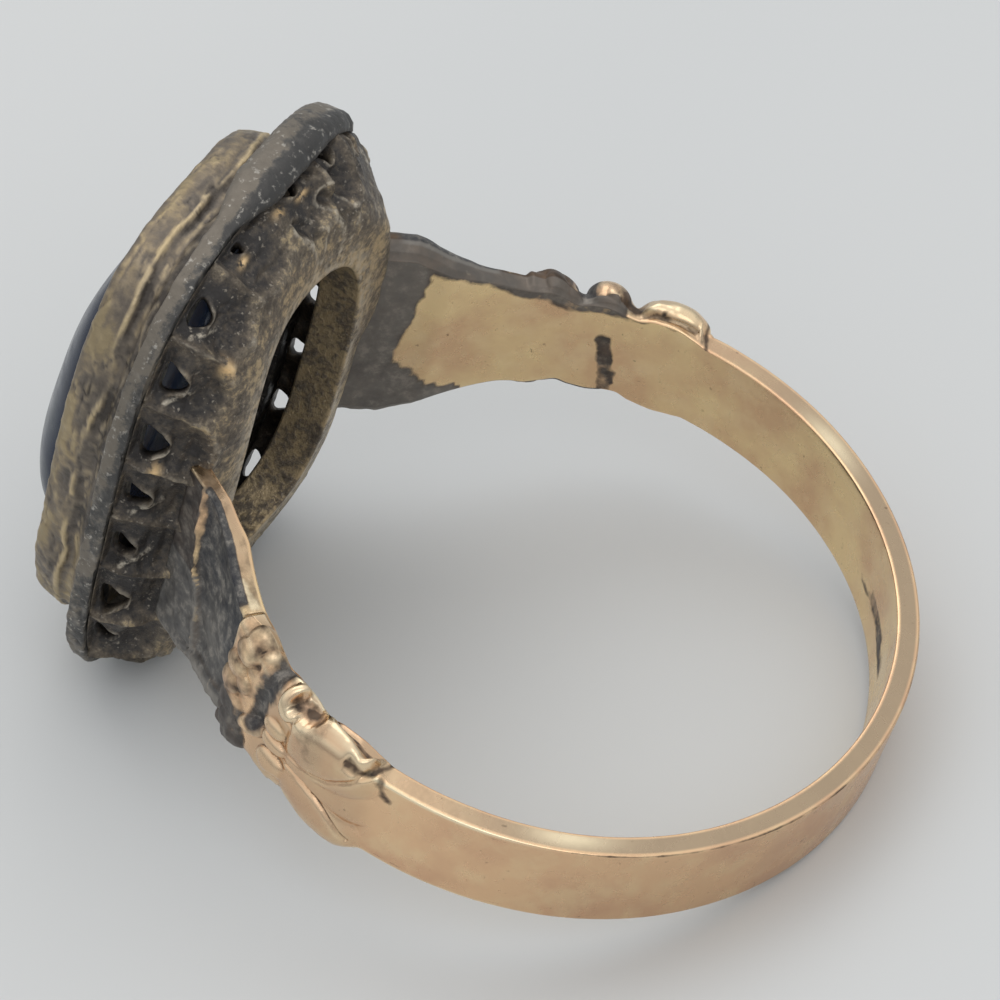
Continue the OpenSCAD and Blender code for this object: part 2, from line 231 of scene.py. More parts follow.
def ornament_height(d, s):
    """Relief of one cast shoulder over the plain strip."""
    crown = crown_lift * step(d, 2.9, 3.2) * (1 - step(d, 5.66, 5.84))
    crown = crown - valley_depth * seam(off_line(d, s, valley_line), 0.26)
    raised = np.zeros(np.broadcast(d, s).shape)
    for at, size, turn, height in lobes:
        raised = np.maximum(raised, dome(d, s, at, size, turn, 2.1, height))
    total = crown + raised
    # Leaf: two full petals and the strip between them
    end = step(d, 0.35, 1.3)
    upper = dome(d, s, *upper_petal) * (1 - step(s - smooth_line(d, petal_edge), -0.04, 0.12))
    leaf = most(upper, dome(d, s, *middle_strip), dome(d, s, *lower_petal)) * end
    leaf = leaf - 0.08 * seam(off_line(d, s, upper_crease), 0.08)
    leaf = leaf - 0.10 * seam(off_line(d, s, lower_crease), 0.06)
    total = np.maximum(total, leaf * (1 - step(d, 3.1, 3.6)))
    for line, height, width in ((petal_edge[1:-1], 0.10, 0.09), (petal_hollow, -0.15, 0.10),
                                (corner_bar, 0.12, 0.08), (comma_line, -0.03, 0.08)):
        total = total + height * seam(off_line(d, s, line), width)
    # Paired scrolls: a crescent of wire round a pit, open towards the petal, the lower one worn
    for sign, proud in ((1, 1.0), (-1, 0.4)):
        z = s * sign
        away = np.hypot(d - scroll_at[0], z - scroll_at[1])
        turn = np.degrees(np.arctan2(z - scroll_at[1], d - scroll_at[0]))
        off_open = np.abs((turn - scroll_open + 180) % 360 - 180)
        wire = scroll_wire * (0.35 + 0.65 * step(off_open, 50, 130))
        held = step(off_open, 40, 80)
        total = total - dome(d, z, (3.14, 1.58), (0.50, 0.24), 0, 2.6, 0.2)
        total = np.maximum(total, (crown_lift + 0.2 * bead(away - scroll_r, wire)) * held * proud
                           * (np.abs(away - scroll_r) < wire))
        total = total - 0.1 * seam(off_line(d, z, scroll_foot), 0.07)
    return total - 0.12 * seam(np.hypot(d - 4.8, s - 1.45), 0.13)


# The far shoulder's three bumps, seen over its edge: towards head, half length, height
far_bumps = [(4.72, 0.72, 0.40), (3.22, 0.60, 0.46), (1.36, 1.00, 0.46)]
# Its ornament sits this much lower down the hoop, and its root is this much thicker
far_shift, far_root = 0.42, 0.42
far_valley = 2.46


def far_height(d, s):
    """Relief of the far shoulder, whose ornament sits lower down the hoop."""
    total = ornament_height(d + far_shift, s) * (1 - 0.9 * seam(d - far_valley, 0.2))
    for at, reach, height in far_bumps:
        total = np.maximum(total, dome(d, np.abs(s), (at, 1.3), (reach, 0.62), 0, 2.2, height))
    return total + far_root * step(d, 6.2, 7.7)


# Where the sunk panel ends towards the gallery: along the finger, towards the head
panel_end = [(-3.2, 7.35), (-1.9, 7.5), (-1.34, 7.62), (-0.5, 7.78), (0, 8.0), (0.6, 8.15), (3, 8.35)]
panel_depth = 0.17
upper_border, lower_border = 0.08, 0.45


def panel_mask(d, s, half):
    """The sunk panel between the lobes and the gallery."""
    border = half - np.where(s < 0, lower_border, upper_border)
    return (step(d, 5.72, 5.86) * (1 - step(d - smooth_line(s, panel_end), -0.14, 0))
            * (1 - step(np.abs(s) - border, -0.09, 0.02)))


# What the inside face has in place of a distance round the section
inside_mark = 9


def half_section(width, thick, corner, inner_corner):
    """The strip's section from the middle of its outside, over one edge, to its inside.

    For each point: its place along the finger and outwards, the way that relief stands
    there, its distance round the section, and its share in the outside.
    """
    w, t, c, i = (v[:, None] for v in (width, thick, corner, inner_corner))
    top = np.linspace(0, 1, 50, endpoint=False)
    bend = np.radians(np.linspace(90, 0, 8, endpoint=False))
    side = np.linspace(0, 1, 8, endpoint=False)
    low_bend = np.radians(np.linspace(0, -90, 3, endpoint=False))
    under = np.linspace(0, 1, 11)
    bend_end = w - c + c * math.pi / 2
    stretches = [
        ((w - c) * top, t, 0.0, 1.0, (w - c) * top, 1.0),
        (w - c + c * np.cos(bend), t - c + c * np.sin(bend), np.cos(bend), np.sin(bend),
         w - c + c * (math.pi / 2 - bend), 1.0),
        (w + 0 * side, (t - c) * (1 - side) + i * side, 1.0, 0.0, bend_end + (t - c - i) * side,
         1 - side * 0.55),
        (w - i + i * np.cos(low_bend), i + i * np.sin(low_bend), np.cos(low_bend),
         np.sin(low_bend), bend_end + (t - c - i), 0.0),
        ((w - i) * (1 - under), 0.0, 0.0, -1.0, inside_mark, 0.0)]
    return [np.hstack([np.broadcast_to(stretch[k], stretch[0].shape) for stretch in stretches])
            for k in range(6)]


# Rows of points round one side, in degrees from the head, closest on the ornament
near_rows = np.concatenate([np.linspace(180, 89, 44, endpoint=False),
                            np.linspace(89, 52.5, 195, endpoint=False), np.linspace(52.5, 28.1, 70)])
turns = np.concatenate([near_rows[::-1], 360 - near_rows[1:]])
folded = np.where(turns > 180, 360 - turns, turns)
side_sign = np.where(turns > 180, -1.0, 1.0)


def on_arc(radius, degrees):
    """Points of the strip's outside or inside, seen along the finger."""
    turn = np.radians(degrees)
    return np.stack([radius * np.cos(turn), side_sign * radius * np.sin(turn)], -1)


out_r = smooth_line(folded, outer_line)
in_degrees = folded - root_skew * step(-folded, -45, -30)
towards = out_r * np.cos(np.radians(folded))
placed = towards + far_shift * (side_sign < 0)
corner = smooth_line(placed, corner_round)
half = half_width(towards) + smooth_line(placed, edge_bulge)
inside = on_arc(smooth_line(in_degrees, inner_line), in_degrees)
across = on_arc(out_r, folded) - inside
thick = np.linalg.norm(across, axis=1)
across /= thick[:, None]
# The section's other half is the same points mirrored and read backwards. From here on z is
# a point's place along the finger, d towards the head, and s round the section.
mirror_signs = (-1, 1, -1, 1, -1, 1)
parts = half_section(half, thick, np.minimum(corner, thick * 0.6), np.full_like(half, 0.05))
z, r, nz, nr, s, outer = (
    np.hstack([part, sign * part[:, -2:0:-1]]) for part, sign in zip(parts, mirror_signs))
d = towards[:, None] + 0 * z
half = half[:, None]
corner = corner[:, None]
far = (side_sign < 0)[:, None]
on_face = outer > 0.99
on_skin = outer > 0.4
on_side = on_skin & ~on_face
on_inside = np.abs(s) > inside_mark - 1

near_rise = ornament_height(d, s) * step(d, 0.2, 0.9) * (1 - step(d, 5.7, 5.86))
rise = np.where(far, far_height(d, s) * step(d, -0.2, 0.4), near_rise)
rise = np.where(on_skin, rise * outer, 0)
on_leaf = d + far_shift * far
spot = np.stack([d, s, side_sign[:, None] * 5 + 0 * s], -1)
sunk = panel_mask(d, s, half) * on_face
panel_floor = -panel_depth + 0.05 * rough(spot, 0.7, 21, 4)
# A broken bright frame where the panel ends, and a groove inside its lower border
root_end = smooth_line(s, panel_end)
root_frame = seam(d - root_end - 0.04 + 0.015 * rough(spot, 0.5, 23, 2), 0.03)
root_frame = root_frame * (np.abs(s) < half - 0.1) * step(rough(spot, 0.8, 24, 2), -0.4, 0.1)
border_line = (seam(np.abs(s) - (half - 0.42), 0.06) * (s < 0)
               * step(d, 5.5, 5.7) * (1 - step(d, 8.0, 8.3)))
rise = rise + sunk * panel_floor + (0.05 * root_frame - 0.07 * border_line) * on_face
# The rim round the panel, the lobes' lower corner and all the cast metal are uneven
rim = step(d, 5.6, 6.0) * on_skin * (1 - sunk)
rise = rise + rim * 0.02 * rough(spot, 0.35, 31, 3)
low_corner = step(d - 0.3 * s, 4.75, 5.0) * step(-s, 0.2, 0.5) * on_skin
rise = rise + 0.05 * low_corner * rough(spot, 0.4, 33, 3)
cast = step(on_leaf, 0.5, 1.4) * on_skin
rise = rise + (0.006 * rough(spot, 1.6, 41, 3) + 0.008 * cast * rough(spot, 0.5, 43, 3)) * ~on_inside
shank_points = np.dstack([inside[:, None, :] + across[:, None, :] * (r + rise * nr)[..., None],
                          (z + rise * nz)[..., None]])

# Old dirt and tarnish lie in the valley and in a stain on the leaf, and what is low holds dirt and painted
# shade
hollow = np.where(on_skin, rise - soften(rise, 16), 0)
in_lows = 0.6 * step(-hollow, 0.008, 0.05) * cast
valley = seam(off_line(on_leaf, s, valley_line) + 0.08 * rough(spot, 0.4, 45, 3), 0.36) * on_skin
lobe_tarnish = (0.46 + 0.3 * far) * step(on_leaf, 4.4, 4.8) * on_face
# Painted shade on the upper petal, under its curled end, and in the hollow beside each scroll
petal_shade = 0.46 * seam(np.hypot(on_leaf - 2.65, (s - 1.25) * 0.7), 0.5) * on_skin
curl_shadow = 0.6 * seam(off_line(on_leaf, s, petal_hollow), 0.11)
comma = 0.56 * seam(off_line(d, s, comma_line), 0.16) * (1 - far)
scroll_hollow_shade = 0.95 * seam(np.hypot((on_leaf - 3.02) * 0.8, (np.abs(s) - 1.62) * 1.5), 0.34) * on_skin
rim_tarnish = rim * (0.35 + 0.45 * (s < 0) + 0.3 * far)
# The far shoulder's side is dull brown down to its last bump, and beside the panels it is grey
far_side = 0.85 * far * step(d, 2.5, 2.9) * ~on_face * ~on_inside
panel_side = step(d, 5.9, 6.1) * (1 - step(d, 8.2, 8.5)) * (outer > 0.82) * (s > half - 0.14)
beyond = step(d - root_end, -0.02, 0.06) * on_face * (np.abs(s) < half - 0.1)
inner_corner = (0.62 * seam(np.abs(z) - (half - 0.07), 0.035) * on_inside * (z > 0)
                * (1 - step(d, 1.5, 3)) * (1 - far))
grime_and_shade = most(in_lows, 0.95 * valley, lobe_tarnish, 0.8 * low_corner, petal_shade, curl_shadow, comma,
             scroll_hollow_shade, rim_tarnish, far_side, 0.95 * sunk, border_line * on_face, 0.9 * beyond,
             inner_corner, 0.9 * panel_side)
grime_and_shade = grime_and_shade * (1 - 0.35 * root_frame * on_face)
# The strip's corners are rubbed bright near the leaf, with a painted highlight there, and carry thin dark
# lines further back
edge = seam(np.abs(s) - (half - corner * 0.4), 0.05) * on_skin
under_edge = seam(np.abs(s) - (half - 0.16), 0.035) * on_face * step(d, -4.5, -3) * (1 - cast)
back_edge = seam(np.abs(s) - (half - 0.03), 0.04) * (1 - step(d, -4.5, -3.2)) * on_skin
chatter = 0.5 + 0.5 * np.clip(rough(spot, 0.8, 47, 3), -1, 1)
edge_dark_lines = (0.55 * under_edge + 0.7 * back_edge) * chatter

# The inside is grey at the roots, most of all on the far side
inner_spot = np.stack([d, z, side_sign[:, None] * 7 + 0 * z], -1)
patch = rough(inner_spot, 1.3, 51, 3)
grey_patch = most((0.6 + 0.28 * far) * step(d + 0.35 * patch, 7.6, 7.8),
                  0.88 * far * step(d - 0.9 * (z + 1.2) + 0.5 * patch, 7.2, 7.4),
                  0.7 * far * step(z - half + 0.12 * patch, -0.3, -0.2) * step(d, 2.2, 2.8)) * on_inside
# Loose stains on the inside: under the far edge, across it, and along the back
edge_stain = 0.6 * far * step(z - half + 0.3 * patch, -0.32, -0.1) * step(d, 0.9, 1.3)
across_at = 2.97 + 0.22 * z + 0.09 * rough(inner_spot, 0.35, 53, 3)
cross_stain = 0.66 * far * (1 - step(np.abs(d - across_at), 0.16, 0.36)) * step(-z - 0.2 * patch, -0.7, -0.4)
back_stain = (0.66 * far * step(-d, 6.4, 6.8) * (1 - step(-d, 8.8, 9.1))
              * (1 - step(np.abs(z + 0.3 + 0.2 * patch), 0.2, 0.4)) * step(patch, -0.6, 0.0))
stains = most(edge_stain, cross_stain, back_stain) * on_inside
grime_and_shade = most(grime_and_shade, edge_dark_lines, grey_patch, stains)

# Slate grey tarnish instead of brown, its paler places, what is rubbed bright, painted highlights, and a
# dull film with painted shade
slaty = most(0.9 * valley, sunk, rim * (s < 0) + 0.6 * beyond, panel_side, 0.6 * low_corner,
             0.6 * far_side, grey_patch, 0.6 * stains)
pale = most(0.75 * rim * (s < 0) * (1 - border_line) * (1 - 0.7 * beyond), 0.8 * root_frame,
            0.2 * low_corner * on_face, 0.85 * far_side,
            0.45 * seam(np.hypot(d - 6.95, 0.6 * (s + 0.9)), 0.55) * sunk,
            0.8 * grey_patch * (0.75 + 0.25 * patch))
rubbed_and_highlit = most(0.6 * np.clip(hollow / 0.06, 0, 1) * cast * (1 - step(d, 6.4, 6.8) * on_face),
            # Specks on the rim's upper strip: painted highlights
            0.8 * rim * (outer < 0.82) * (s > 0) * step(rough(spot, 0.4, 46, 3), 0.25, 0.6),
            # The bar by the scroll: a painted highlight
            seam(off_line(d, s, corner_bar), 0.08) * on_skin,
            # A painted reflection on the side at the back
            0.8 * seam(np.hypot(d + 4.2, 3 * (s - 1.8)), 0.9) * on_side,
            # The corners near the leaf: rubbed bright, with a painted highlight
            edge * (1 - 0.6 * cast) * step(d, -4.0, -2.0))
# Painted shade on the sides, most towards the back, and over the upper petal; a dull film over the leaf and
# the back of the outside
dull_and_shade = most(on_side * (0.6 + 0.4 * (1 - step(d, -4.5, 0.5))),
            0.6 * seam(np.hypot(d - 2.5, (s - 1.1) * 0.7), 0.6),
            0.3 * step(d, 0.4, 1.2) * (1 - step(d, 4.2, 4.6)) * on_skin,
            0.12 * (1 - step(d, -6, -1)) * on_face)
rose = np.where(on_inside, 0.0, 1 - 0.8 * step(d, 5.6, 5.9))

shank_rows, shank_cols = z.shape
shank_faces = grid_faces(shank_rows, shank_cols)
shank_faces.append(list(range(shank_cols))[::-1])
shank_faces.append([(shank_rows - 1) * shank_cols + c for c in range(shank_cols)])
shank = solid("shank", shank_points.reshape(-1, 3), shank_faces,
              {"dirt": grime_and_shade, "slate": slaty, "pale": pale, "wear": rubbed_and_highlit, "dull_and_shade": dull_and_shade, "rose": rose})


def put(tree, kind, props=None, **values):
    """A shader node with its settings; a value is a plain number or another node's socket."""
    made = tree.nodes.new("ShaderNode" + kind)
    for key, value in (props or {}).items():
        setattr(made, key, value)
    for key, value in values.items():
        socket = made.inputs[int(key[1:])] if key[1:].isdigit() else made.inputs[key.replace("_", " ")]
        if isinstance(value, bpy.types.NodeSocket):
            tree.links.new(value, socket)
        else:
            socket.default_value = value
    return made


def spots(tree, size_mm, detail=4.0, roughness=0.55, offset=0.0):
    """Noise in the object's own space, from 0 to 1."""
    place = put(tree, "TexCoord").outputs["Object"]
    place = put(tree, "Mapping", Vector=place, Location=(offset,) * 3).outputs[0]
    return put(tree, "TexNoise", Vector=place, Scale=1000 / size_mm, Detail=detail,
               Roughness=roughness).outputs[0]


def ramp(tree, value, *stops):
    """Colours or greys between places from 0 to 1."""
    made = put(tree, "ValToRGB", Fac=value)
    bar = made.color_ramp.elements
    while len(bar) < len(stops):
        bar.new(0.5)
    for stop, (place, colour) in zip(bar, stops):
        stop.position = place
        stop.color = (*colour, 1) if isinstance(colour, tuple) else (colour, colour, colour, 1)
    return made.outputs[0]


def mixed(tree, share, a, b):
    """Two colours mixed."""
    made = put(tree, "Mix", {"data_type": "RGBA"})
    for socket, value in ((made.inputs[0], share), (made.inputs[6], a), (made.inputs[7], b)):
        if isinstance(value, bpy.types.NodeSocket):
            tree.links.new(value, socket)
        else:
            socket.default_value = (*value, 1) if isinstance(value, tuple) else value
    return made.outputs[2]


def reckon(tree, kind, a, b):
    """Arithmetic on two values."""
    return put(tree, "Math", {"operation": kind}, i0=a, i1=b).outputs[0]


def times(tree, a, b):
    """Two values multiplied."""
    return reckon(tree, "MULTIPLY", a, b)


def added(tree, first, *others):
    """Several values added up."""
    for other in others:
        first = reckon(tree, "ADD", first, other)
    return first


def swing(tree, value, size):
    """A value from 0 to 1 made to swing about 0."""
    return times(tree, reckon(tree, "SUBTRACT", value, 0.5), size)


def mark(tree, name):
    """A value that was written on the mesh's points."""
    return put(tree, "Attribute", {"attribute_name": name}).outputs["Fac"]


def finish_of(name):
    """A new material with its node tree and its shader."""
    material = bpy.data.materials.new(name)
    material.use_nodes = True
    tree = material.node_tree
    tree.nodes.clear()
    shader = put(tree, "BsdfPrincipled")
    ending = put(tree, "OutputMaterial")
    tree.links.new(shader.outputs[0], ending.inputs[0])
    return material, tree, shader


def join(tree, shader, **sockets):
    """Values that vary over the surface, linked to the shader's sockets of those names."""
    for key, value in sockets.items():
        tree.links.new(value, shader.inputs[key.replace("_", " ")])


def fine_relief(tree, shader, strength, depth_mm, height):
    """Pits and scratches too small for the mesh."""
    relief = put(tree, "Bump", Strength=strength, Distance=depth_mm * 0.001, Height=height)
    join(tree, shader, Normal=relief.outputs[0])


rose_gold = (0.86, 0.58, 0.35)
yellow_gold = (0.92, 0.70, 0.39)
pink_cloud = (0.66, 0.39, 0.25)
pale_cloud = (0.92, 0.71, 0.43)
dull_and_shade_brown = (0.43, 0.33, 0.225)
polished_and_highlight_gold = (0.98, 0.84, 0.58)
brown_tarnish_and_shade = (0.13, 0.085, 0.055)
deep_brown = (0.05, 0.035, 0.025)
slate_tarnish = (0.035, 0.036, 0.042)
mid_slate = (0.10, 0.096, 0.092)
pale_slate = (0.275, 0.252, 0.222)

gold, tree, shader = finish_of("worn rose gold")
base = mixed(tree, mark(tree, "rose"), yellow_gold, rose_gold)
base = mixed(tree, ramp(tree, spots(tree, 2.6, 5), (0.42, 0.0), (0.62, 0.6)), base, pink_cloud)
base = mixed(tree, ramp(tree, spots(tree, 1.1, 5, offset=0.7), (0.5, 0.0), (0.66, 0.5)), base, pale_cloud)
pits = ramp(tree, spots(tree, 0.22, 3, offset=0.3), (0.24, 0.6), (0.31, 0.0))
# A dull film, and painted shade on the sides and the upper petal
base = mixed(tree, mark(tree, "dull_and_shade"), base, dull_and_shade_brown)
base = mixed(tree, pits, base, brown_tarnish_and_shade)
# Polished gold where the metal is rubbed, and as painted highlights
base = mixed(tree, mark(tree, "wear"), base, polished_and_highlight_gold)
# The edge of the dirt and painted shade is broken up, and nothing is darkened where there is no mark
broken = swing(tree, spots(tree, 0.5, 6, offset=0.9), 1.1)
stain_and_shade = ramp(tree, added(tree, mark(tree, "dirt"), broken), (0.3, 0.0), (0.66, 1.0))
stain_and_shade = times(tree, stain_and_shade, ramp(tree, mark(tree, "dirt"), (0.05, 0.0), (0.3, 1.0)))
brown = ramp(tree, spots(tree, 0.55, 6, offset=0.5), (0.38, deep_brown), (0.62, brown_tarnish_and_shade))
slate_tone = ramp(tree, spots(tree, 0.42, 8, roughness=0.7, offset=0.5), (0.38, slate_tarnish),
                  (0.52, mid_slate), (0.64, pale_slate))
slate_tone = mixed(tree, mark(tree, "pale"), slate_tone, pale_slate)
grime_and_shade_colour = mixed(tree, mark(tree, "slate"), brown, slate_tone)
gloss = ramp(tree, spots(tree, 0.9, 5, offset=0.2), (0.3, 0.19), (0.7, 0.34))
join(tree, shader, Base_Color=mixed(tree, stain_and_shade, base, grime_and_shade_colour),
     Metallic=ramp(tree, stain_and_shade, (0.0, 1.0), (1.0, 0.5)),
     Roughness=added(tree, gloss, times(tree, stain_and_shade, 0.25)))
fine_relief(tree, shader, 0.4, 0.02, added(tree, spots(tree, 0.3, 5), times(tree, stain_and_shade, 0.8)))
shank.data.materials.append(gold)
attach(shank, "root")
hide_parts("hoop_and_gallery")

# The gallery is one pressed and pierced wall of the same gold, soldered under the
# flange. It rises from a saddle-shaped foot round the open back in scallops, each pierced
# by an arch, and is black and brown with old tarnish and painted shade under the flange,
# with gold glinting on the ridges and painted highlights on the arches' lips.

open_a, open_b = 3.15, 5.4
wall_a, wall_b = 5.53, 7.88
flange_a, flange_b = 5.75, 8.1
flange_back, flange_front = 10.5, 11.08
wall_t = 0.36
flutes = 22
oval_power = 3.3
saddle_r = finger_r + 0.05
# The wall's length round, its height, and the width of one flute
wall_round, wall_rise, flute_w = 43, 3.6, 1.95


def oval(a, b, angle, power=oval_power):
    """Point of a rounded oval."""
    c, n = np.cos(angle), np.sin(angle)
    return (a * np.sign(c) * np.abs(c) ** (2 / power), b * np.sign(n) * np.abs(n) ** (2 / power))


def even_angles(a, b, shares):
    """Angles that stand at even distances along an oval."""
    t = np.linspace(0, 2 * math.pi, 4001)
    x, y = oval(a, b, t)
    run = np.concatenate([[0], np.cumsum(np.hypot(np.diff(x), np.diff(y)))])
    share = np.asarray(shares, float)
    return np.interp((share % 1) * run[-1], run, t)


def saddle_x(y):
    """How far towards the head the saddle-shaped foot is, clear of the finger's circle."""
    return np.sqrt(saddle_r ** 2 - y ** 2)


def wall_base(share, v):
    """Smooth wall without its scallops, at a share of the way round and of the way up."""
    t = even_angles(flange_a, flange_b, share)
    swell = np.sin(np.clip(v, 0, 1) * math.pi / 2) ** 0.37
    foot_y, _ = oval(open_a, open_b, t)
    y, z = oval(open_a + (wall_a - open_a) * swell, open_b + (wall_b - open_b) * swell, t)
    return np.stack([saddle_x(foot_y) * (1 - v) + flange_back * v, y, z], -1)


def wall_normal(share, v):
    """Which way is outwards on the smooth wall."""
    du = wall_base(share + 0.004, v) - wall_base(share - 0.004, v)
    dv = wall_base(share, np.clip(v + 0.03, 0.02, 1)) - wall_base(share, np.clip(v - 0.03, 0.02, 1))
    n = np.cross(dv, du)
    n /= np.maximum(np.linalg.norm(n, axis=-1, keepdims=True), 1e-9)
    out = wall_base(share, v) * [0, 1, 1]
    return n * np.sign(np.sum(n * out, -1, keepdims=True) + 1e-9)


# Hand-pierced arches differ: flute, shift along the wall, width, how far it reaches down
arch_table = {0: (-0.12, 0.85, 0.58), 1: (-0.14, 1.1, 0.54), 2: (-0.08, 0.95, 0.54),
              3: (-0.08, 0.9, 0.58), 4: (-0.1, 0.35, 0.74), 5: (-0.1, 0.62, 0.68),
              6: (0.0, 0.8, 0.62), 20: (-0.16, 1.15, 0.56), 21: (-0.12, 0.75, 0.62)}
arch_top, arch_share = 0.965, 0.62
arch_rng = np.random.default_rng(7)
# How far the end wall stands out beyond the plain one, from its foot up
end_swell = [(0, 0), (0.05, 0.19), (0.1, 0.27), (0.14, 0.21), (0.25, 0.12), (0.37, 0.08), (0.6, 0.13),
             (0.85, 0.25), (1, 0.22)]
# A painted highlight, a thin bright line down the end wall: from the foot up, share of the way round
end_line_at = [(0, 0.4), (0.11, 0.39), (0.15, 0.379), (0.25, 0.366), (0.39, 0.357), (0.62, 0.348),
               (1, 0.342)]
# Two drop-shaped recesses and some painted glints of gold: millimetres round the wall, and up
drop_lines = ([(12.35, 1.45), (13.1, 0.35)], [(10.9, 1.45), (11.5, 0.35)])
glint_spots = [(11.7, 2.27), (10.66, 2.55), (8.9, 2.38), (2.54, 2.34), (6.2, 1.0)]
# The crescent lip beside an arch, painted with a highlight, and the flutes where it is still sharp
crescent_line = [(0.16, 2.8), (0.42, 2.25), (0.72, 1.7)]
sharp_crescents = (0, 2, 3, 21)
# The collar round the open back: its height, the share of the wall behind it, its edge
collar_up, collar_v, foot_edge = 1.2, 0.36, 0.08
# Points along one side of a flute, rings of points round its arch, and rows below them
around, rings, low_rows = 16, 9, 22
split_v = 0.5


def scallop(u, v, shift):
    """Height of the pressed scallops over the smooth wall."""
    deepest = 0.8 + 0.35 * shift
    cup = np.sin(math.pi * np.clip(u, 0, 1) ** deepest) ** 0.75
    bottom = 0.2 + 0.1 * (2 * u - 1) ** 2
    reach = step(v - bottom, -0.04, 0.12) * (1 - 0.3 * step(v, 0.5, 0.62))
    ridge = seam(0.5 - np.abs(u - 0.5), 0.07) * step(v, 0.18, 0.3)
    lower_rim = seam(v - bottom + 0.05, 0.04)
    return -0.42 * cup * reach + 0.10 * ridge + 0.08 * lower_rim


def arch_outline(flute):
    """Outline of one pierced arch, wide under the flange and rounded below."""
    plain_arch = (arch_rng.uniform(-0.1, 0.1), arch_rng.uniform(0.7, 0.95), arch_rng.uniform(0.56, 0.66))
    shift, wide, bottom = arch_table.get(flute, plain_arch)
    t = np.linspace(0, 2 * math.pi, 4 * around, endpoint=False) + math.pi / 4
    cx, cy = np.cos(t), np.sin(t)
    mid_v, half_v = (arch_top + bottom) / 2, (arch_top - bottom) / 2
    v = mid_v + half_v * np.sign(cy) * np.abs(cy) ** 0.75
    narrowing = 0.35 + 0.65 * (v - bottom) / (arch_top - bottom)
    u = 0.5 + shift + 0.5 * wide * arch_share * np.sign(cx) * np.abs(cx) ** 0.8 * narrowing
    return np.clip(u, 0.06, 0.94), v, shift


def flute_grid(flute):
    """Places on one flute, along it and up: rings round its arch, then rows below them."""
    hole_u, hole_v, shift = arch_outline(flute)
    side = np.arange(around) / around
    edge_u = np.concatenate([1 - side, 0 * side, side, 1 + 0 * side])
    edge_v = np.concatenate([1 + 0 * side, 1 - side * (1 - split_v), split_v + 0 * side,
                             split_v + side * (1 - split_v)])
    off_hole = np.linspace(0, 1, rings + 1)
    spread = (off_hole ** 1.3)[:, None]
    ring_u = hole_u + (edge_u - hole_u) * spread
    ring_v = hole_v + (edge_v - hole_v) * spread
    low_u, low_v = np.meshgrid(side, np.linspace(0, split_v, low_rows, endpoint=False))
    low_u = np.hstack([low_u, np.ones((low_rows, 1))])
    low_v = np.hstack([low_v, low_v[:, :1]])
    from_hole = np.concatenate([np.repeat(off_hole, 4 * around), np.ones(low_u.size)])
    us = np.concatenate([ring_u.ravel(), low_u.ravel()])
    vs = np.concatenate([ring_v.ravel(), low_v.ravel()])
    return us, vs, from_hole, shift


def flute_faces():
    """Quads of one flute: its outer skin, its inner skin, and the edges between them."""
    n, width = 4 * around, around + 1
    low_first, top_first = (rings + 1) * n, rings * n
    count = low_first + low_rows * width
    skin = [quad[::-1] for quad in grid_faces(rings + 1, n)]
    for j, i in np.ndindex(low_rows, around):
        low = low_first + j * width + i
        if j + 1 < low_rows:
            skin.append([low, low + 1, low + width + 1, low + width])
        else:
            skin.append([low, low + 1, top_first + (2 * around + i + 1) % n, top_first + 2 * around + i])
    quads = skin + [[place + count for place in quad[::-1]] for quad in skin]
    for i in range(n):
        quads.append([i, (i + 1) % n, count + (i + 1) % n, count + i])
    for i in range(around):
        low, top, next_top = low_first + i, top_first + i, top_first + (i + 1) % n
        quads.append([low + 1, low, low + count, low + 1 + count])
        quads.append([next_top, top, top + count, next_top + count])
    return np.array(quads)


